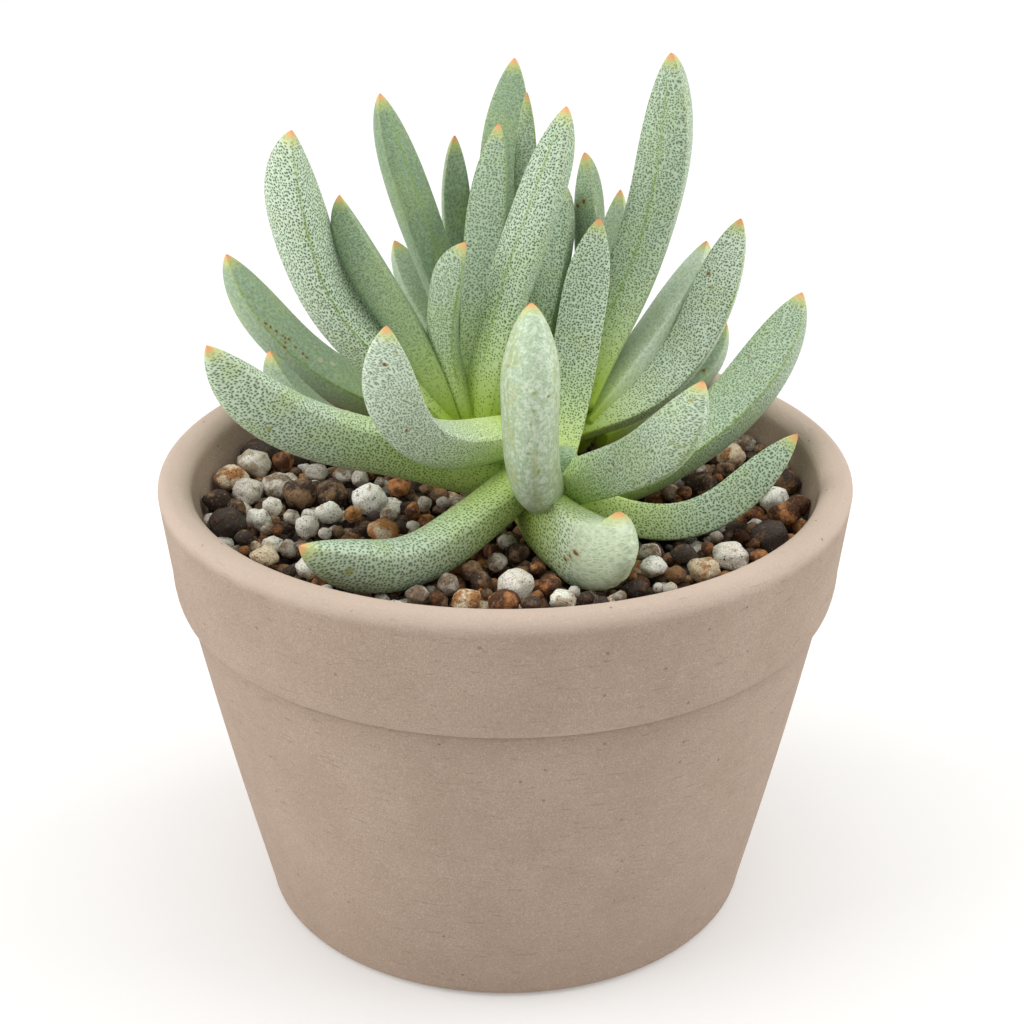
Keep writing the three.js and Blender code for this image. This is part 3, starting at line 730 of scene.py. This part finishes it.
# The grit: loose pumice and lava, washed round, from fine gravel to stones of 4 mm. The stones in view
# lie where the picture shows them: across, down, breadth and height in picture points, and the kind.
GRIT_LEVEL = 46.4
BED_LEVEL = 44.4
GRIT_REACH = 33.3
BED_DEPTH = 30.0
BED_TAPER = 0.8
STONES = (
    (237, 448, 40, 26, "black"), (253, 464, 38, 32, "white"), (221, 478, 38, 28, "tan"),
    (283, 462, 22, 22, "rust"), (241, 434, 14, 11, "tan"), (256, 441, 15, 13, "tan"),
    (265, 447, 12, 10, "tan"), (317, 472, 25, 20, "grey"), (345, 475, 25, 17, "grey"),
    (360, 479, 18, 18, "grey"), (380, 482, 11, 14, "grey"), (399, 487, 24, 17, "rust"),
    (213, 501, 32, 22, "brown"), (247, 491, 33, 26, "grey"), (279, 486, 34, 24, "grey"),
    (300, 495, 36, 34, "brown"), (332, 494, 34, 32, "brown"), (370, 500, 36, 34, "white"),
    (413, 512, 17, 20, "rust"), (424, 504, 15, 22, "grey"), (440, 495, 20, 15, "black"),
    (426, 489, 15, 8, "brown"), (228, 523, 40, 32, "black"), (236, 508, 20, 18, "brown"),
    (272, 507, 22, 22, "white"), (261, 520, 22, 22, "white"), (291, 517, 18, 16, "grey"),
    (329, 513, 30, 26, "white"), (307, 527, 24, 24, "white"), (325, 534, 14, 14, "white"),
    (353, 514, 20, 18, "tan"), (389, 515, 20, 16, "grey"), (383, 531, 34, 20, "tan"),
    (350, 540, 20, 12, "rust"), (273, 545, 24, 18, "white"), (288, 549, 18, 20, "grey"),
    (264, 557, 31, 25, "tan"), (245, 551, 14, 10, "rust"), (244, 538, 22, 15, "black"),
    (277, 530, 14, 10, "rust"), (338, 532, 14, 12, "brown"), (317, 488, 14, 18, "black"),
    (413, 526, 14, 8, "white"), (443, 503, 15, 10, "grey"), (268, 529, 16, 12, "grey"),
    (306, 568, 26, 20, "white"), (290, 572, 16, 14, "black"), (417, 595, 27, 20, "grey"),
    (437, 598, 17, 14, "rust"), (448, 585, 24, 24, "grey"), (472, 571, 22, 22, "brown"),
    (481, 581, 22, 18, "brown"), (466, 600, 32, 17, "tan"), (497, 562, 22, 20, "grey"),
    (517, 553, 26, 22, "brown"), (515, 585, 40, 36, "white"), (487, 594, 14, 12, "brown"),
    (504, 603, 34, 15, "rust"), (537, 568, 18, 14, "rust"), (550, 585, 24, 20, "rust"),
    (537, 596, 14, 12, "rust"), (531, 604, 22, 11, "black"), (562, 600, 30, 18, "white"),
    (574, 593, 13, 15, "white"), (587, 598, 16, 13, "brown"), (620, 597, 16, 11, "grey"),
    (602, 602, 16, 9, "black"), (638, 588, 20, 18, "black"), (632, 577, 12, 11, "rust"),
    (658, 588, 12, 12, "white"), (670, 589, 16, 11, "white"), (653, 567, 30, 22, "white"),
    (650, 553, 24, 14, "grey"), (684, 555, 30, 21, "black"), (676, 575, 22, 18, "black"),
    (704, 571, 35, 27, "tan"), (731, 556, 38, 32, "white"), (707, 548, 13, 18, "rust"),
    (716, 537, 15, 14, "grey"), (728, 534, 12, 10, "brown"), (726, 576, 14, 8, "rust"),
    (770, 537, 40, 34, "black"), (755, 543, 11, 10, "rust"), (759, 557, 20, 14, "rust"),
    (750, 514, 15, 12, "rust"), (774, 500, 32, 28, "white"), (784, 516, 34, 22, "rust"),
    (803, 505, 26, 22, "rust"), (791, 538, 12, 9, "tan"), (801, 481, 34, 20, "black"),
    (797, 466, 26, 16, "grey"), (668, 492, 18, 16, "grey"), (684, 492, 16, 10, "rust"),
    (703, 484, 32, 17, "brown"), (750, 429, 16, 20, "tan"), (765, 439, 26, 17, "grey"),
    (762, 450, 16, 12, "brown"), (731, 457, 30, 26, "tan"), (752, 457, 14, 9, "brown"),
    (726, 469, 20, 14, "brown"), (700, 470, 16, 12, "grey"), (690, 478, 18, 12, "brown"),
    (718, 478, 11, 9, "rust"), (321, 369, 17, 14, "rust"), (326, 380, 28, 18, "black"),
    (340, 400, 34, 16, "tan"), (357, 388, 15, 14, "brown"), (361, 373, 14, 14, "black"),
    (417, 292, 20, 17, "white"), (427, 301, 15, 13, "brown"), (408, 284, 14, 10, "black"),
    (426, 313, 12, 10, "grey"), (657, 287, 12, 12, "tan"), (610, 431, 12, 9, "brown"),
    (622, 426, 10, 9, "rust"), (633, 422, 11, 9, "brown"), (644, 417, 10, 8, "rust"),
    (655, 411, 12, 9, "tan"), (666, 404, 11, 9, "rust"), (677, 396, 10, 8, "brown"),
)
# Of each kind: its colour, its stain, how much of it is stained, and how pitted it is
KINDS = {
    "white": ((250, 245, 232), (206, 190, 162), 0.34, 1.0),
    "grey": ((214, 207, 193), (138, 118, 96), 0.42, 0.7),
    "tan": ((234, 216, 184), (178, 122, 70), 0.42, 0.8),
    "rust": ((186, 126, 76), (92, 58, 36), 0.48, 0.5),
    "brown": ((152, 120, 88), (66, 50, 40), 0.48, 0.6),
    "black": ((62, 54, 50), (146, 108, 72), 0.36, 0.5),
}

bpy.ops.object.select_all(action="DESELECT")
bpy.ops.mesh.primitive_circle_add(
    vertices=96, radius=GRIT_REACH * MM, location=(0, 0, BED_LEVEL * MM), fill_type="NGON"
)
bed = bpy.context.object
bed.name = "grit_bed"
bpy.ops.object.mode_set(mode="EDIT")
bpy.ops.mesh.select_all(action="SELECT")
bpy.ops.mesh.extrude_region_move(TRANSFORM_OT_translate={"value": (0, 0, -BED_DEPTH * MM)})
bpy.ops.transform.resize(value=(BED_TAPER, BED_TAPER, 1.0), center_override=(0, 0, 0))
bpy.ops.mesh.select_all(action="SELECT")
bpy.ops.mesh.normals_make_consistent(inside=False)
bpy.ops.object.mode_set(mode="OBJECT")
bpy.ops.object.transform_apply(location=True, rotation=True, scale=True)
# Painted shade: the bed is near black, to stand for the deep gaps between the stones
gap_shade, start, shader = finish("painted_gap_shade")
at = in_millimetres(start)
crumb = start.noise(at, 2.0, 4.0, 0.7)
connect(start.mix(crumb.rise(0.4, 0.7), shade(14, 11, 9), shade(36, 28, 22)), shader, "Base Color")
shader.inputs["Roughness"].default_value = 0.95
connect(bump(crumb, 1.0, 0.0006), shader, "Normal")
bed.data.materials.append(gap_shade)
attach(bed, "root")
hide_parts("grit")


# Eight stones are modelled, each twice: coarse for the gravel and finer for the large ones
STONE_SHAPES = 8
LUMP_SIZE = 0.75
LUMP_HEIGHT = 0.75
WORN_FLATS = 5
FLAT_LEVELS = (0.72, 0.95)
FLAT_WEAR = 0.75


def rough_stone(seed, subdivisions):
    """One washed stone of unit size: a ball with worn flats and soft lumps, as points and faces."""
    bpy.ops.object.select_all(action="DESELECT")
    bpy.ops.mesh.primitive_ico_sphere_add(subdivisions=subdivisions, radius=1.0)
    made = bpy.context.object
    lumps = bpy.data.textures.new("lumps", "CLOUDS")
    lumps.noise_scale = LUMP_SIZE
    lumps.noise_depth = 4
    pushed = made.modifiers.new("lumps", "DISPLACE")
    pushed.texture = lumps
    pushed.texture_coords = "OBJECT"
    bpy.ops.object.empty_add(location=(seed * 3.1, seed * 1.7, seed * 2.3))
    anchor = bpy.context.object
    pushed.texture_coords_object = anchor
    pushed.strength = LUMP_HEIGHT
    pushed.mid_level = 0.5
    bpy.ops.object.select_all(action="DESELECT")
    made.select_set(True)
    bpy.context.view_layer.objects.active = made
    bpy.ops.object.modifier_apply(modifier="lumps")
    lots = random.Random(seed)
    points = np.array([v.co for v in made.data.vertices])
    for flat in range(WORN_FLATS):
        way = np.array([lots.gauss(0, 1) for _ in range(3)])
        way /= np.linalg.norm(way)
        over = points @ way - lots.uniform(*FLAT_LEVELS)
        points -= np.outer(np.maximum(over, 0) * FLAT_WEAR, way)
    points -= points.mean(0)
    points /= np.abs(points).max(0)
    faces = [tuple(p.vertices) for p in made.data.polygons]
    bpy.data.objects.remove(anchor)
    bpy.data.objects.remove(made)
    return points, faces


leaf_points, leaf_faces = [], []
for made in leaves:
    base = len(leaf_points)
    leaf_points += [v.co.copy() for v in made.data.vertices]
    leaf_faces += [tuple(i + base for i in p.vertices) for p in made.data.polygons]
foliage = BVHTree.FromPolygons(leaf_points, leaf_faces)


def free_of_leaves(place, radius):
    """Whether a stone of a radius at a place, in metres, lies clear of every leaf."""
    near, normal, _, gap = foliage.find_nearest(place)
    return gap > radius and (place - near).dot(normal) > 0


# A stone keeps clear of the leaves by a share of its radius, or else sinks a step at a time
LOTS_SEED = 20731
STONE_CLEARANCE = 0.55
SINKING = (0.0, 0.4, 0.8, 1.2, 1.6, 2.0)
FLATTEST = 0.7
TALLEST = 1.15
lots = random.Random(LOTS_SEED)
settled = []
forward = -look_back
for across, down, breadth, height, kind in STONES:
    for sunk in SINKING:
        place = on_level(across, down, (GRIT_LEVEL - sunk) * MM)
        per_mm = LENS / SENSOR * PICTURE / (place - camera.location).dot(forward) * MM
        wide = breadth / 2 / per_mm
        seen = height / 2 / per_mm
        upright = seen**2 - (math.sin(LOOK_DOWN) * wide) ** 2
        tall = math.sqrt(max((FLATTEST * wide) ** 2, upright)) / math.cos(LOOK_DOWN)
        tall = min(tall, TALLEST * wide)
        reach = math.hypot(place.x, place.y) / MM + wide
        if reach > GRIT_REACH:
            place *= 1 - (reach - GRIT_REACH) * MM / math.hypot(place.x, place.y)
            place.z = (GRIT_LEVEL - sunk) * MM
        if free_of_leaves(place, STONE_CLEARANCE * wide * MM):
            size = (wide, wide * lots.uniform(0.88, 1.05), tall)
            settled.append((place, size, lots.uniform(-0.5, 0.5), kind))
            break

# The gravel between them is thrown at random, the coarse first, and lies lower, mostly dark
GRAVEL_DARTS = 9000
GRAVEL_RADII = (0.45, 1.3)
GRAVEL_LEVELS = (44.2, 45.4)
GRAVEL_KINDS = ("white", "grey", "tan") + ("rust",) * 2 + ("brown",) * 4 + ("black",) * 3
GRAVEL_PACKING = 0.8
for dart in range(GRAVEL_DARTS):
    coarse = 1 - dart / GRAVEL_DARTS
    radius = GRAVEL_RADII[0] + (GRAVEL_RADII[1] - GRAVEL_RADII[0]) * coarse
    radius *= lots.uniform(0.85, 1.15)
    far = (GRIT_REACH - radius) * math.sqrt(lots.random())
    angle = lots.uniform(0, 2 * math.pi)
    level = lots.uniform(*GRAVEL_LEVELS)
    place = Vector((far * math.cos(angle), far * math.sin(angle), level)) * MM
    kind = lots.choice(GRAVEL_KINDS)
    clear = all(
        (place - other).length / MM > GRAVEL_PACKING * (radius + sum(size) / 3)
        for other, size, _, _ in settled
    )
    if clear and free_of_leaves(place, GRAVEL_PACKING * radius * MM):
        tall = radius * lots.uniform(0.75, 1.0)
        settled.append((place, (radius, radius * lots.uniform(0.75, 1.0), tall), angle, kind))

# The finest of it is painted darker, as shade in the gaps between the stones. Stones from a radius on
# get the finer of the two models.
GAP_SHADE_RADIUS = 0.85
GAP_SHADE_TONE = 0.65
STONE_RADIUS = 0.95
FINE_MODEL, COARSE_MODEL = 3, 2
models = {
    level: [rough_stone(seed, level) for seed in range(1, STONE_SHAPES + 1)]
    for level in (FINE_MODEL, COARSE_MODEL)
}


def pile(name, chosen, level):
    """Joins copies of the modelled stones, each with its own tint and stain."""
    points, faces, tints, stains = [], [], [], []
    base = 0
    for place, size, angle, kind in chosen:
        shape, sides = models[level][lots.randrange(STONE_SHAPES)]
        turn = np.array(Matrix.Rotation(angle, 3, "Z")) @ np.array(
            Matrix.Rotation(lots.uniform(-0.2, 0.2), 3, "X")
        )
        points.append((shape * size) @ turn.T * MM + np.array(place))
        faces += [tuple(i + base for i in side) for side in sides]
        base += len(shape)
        tint, stain, stained, pitted = KINDS[kind]
        # Painted shade: gravel below a radius is darkened
        tone = lots.uniform(0.92, 1.14) * (1.0 if size[0] > GAP_SHADE_RADIUS else GAP_SHADE_TONE)
        tint = [min(1.0, c * tone) for c in shade(*tint)[:3]] + [stained + lots.uniform(-0.1, 0.1)]
        stain = list(shade(*stain)[:3]) + [pitted]
        tints += [tint] * len(shape)
        stains += [stain] * len(shape)
    mesh = bpy.data.meshes.new(name)
    mesh.from_pydata(np.concatenate(points).tolist(), [], faces)
    for title, values in (("tint", tints), ("stain", stains)):
        layer = mesh.attributes.new(title, "FLOAT_COLOR", "POINT")
        layer.data.foreach_set("color", np.array(values, float).ravel())
    mesh.shade_smooth()
    made = bpy.data.objects.new(name, mesh)
    bpy.context.scene.collection.objects.link(made)
    return made


pumice, start, shader = finish("pumice_and_lava")
at = in_millimetres(start)
tint = start.node("Attribute", {"attribute_name": "tint"}, {}, "Color")
stained = start.node("Attribute", {"attribute_name": "tint"}, {}, "Alpha")
stain = start.node("Attribute", {"attribute_name": "stain"}, {}, "Color")
pitted = start.node("Attribute", {"attribute_name": "stain"}, {}, "Alpha")
patch = start.noise(at, 0.55, 3.0, 0.6)
crust = start.noise(at, 3.2, 4.0, 0.7)
dusting = start.noise(at, 6.5, 2.0, 0.7)
hole = start.node("TexVoronoi", {}, {"Vector": at, "Scale": 2.6}, "Distance")
holes = hole.rise(0.3, 0.14) * start.noise(at, 1.1, 1.0).rise(0.46, 0.58) * pitted
body = start.mix(((patch + stained - 0.5) * 8.0 - 3.0).held(), tint, stain)
body = start.mix(crust.rise(0.5, 0.74) * 0.6, body, start.mix(0.5, stain, shade(52, 44, 38)))
body = start.mix(crust.rise(0.45, 0.3) * 0.45, body, start.mix(0.4, tint, shade(246, 240, 228)))
body = start.mix(dusting.rise(0.52, 0.64) * 0.55, body, start.mix(0.6, stain, shade(48, 38, 30)))
body = start.mix(holes * 0.75, body, shade(66, 48, 36))
connect(body, shader, "Base Color")
shader.inputs["Roughness"].default_value = 0.78
shader.inputs["Specular IOR Level"].default_value = 0.3
relief = crust * 0.7 + patch * 0.4 - dusting * 0.3 - holes * 1.2
connect(bump(relief, 0.9, 0.0003), shader, "Normal")
large = [stone for stone in settled if stone[1][0] >= STONE_RADIUS]
small = [stone for stone in settled if stone[1][0] < STONE_RADIUS]
for name, chosen, level in (("grit_stones", large, FINE_MODEL), ("grit_gravel", small, COARSE_MODEL)):
    made = pile(name, chosen, level)
    made.data.materials.append(pumice)
    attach(made, "root")
    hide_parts("grit")
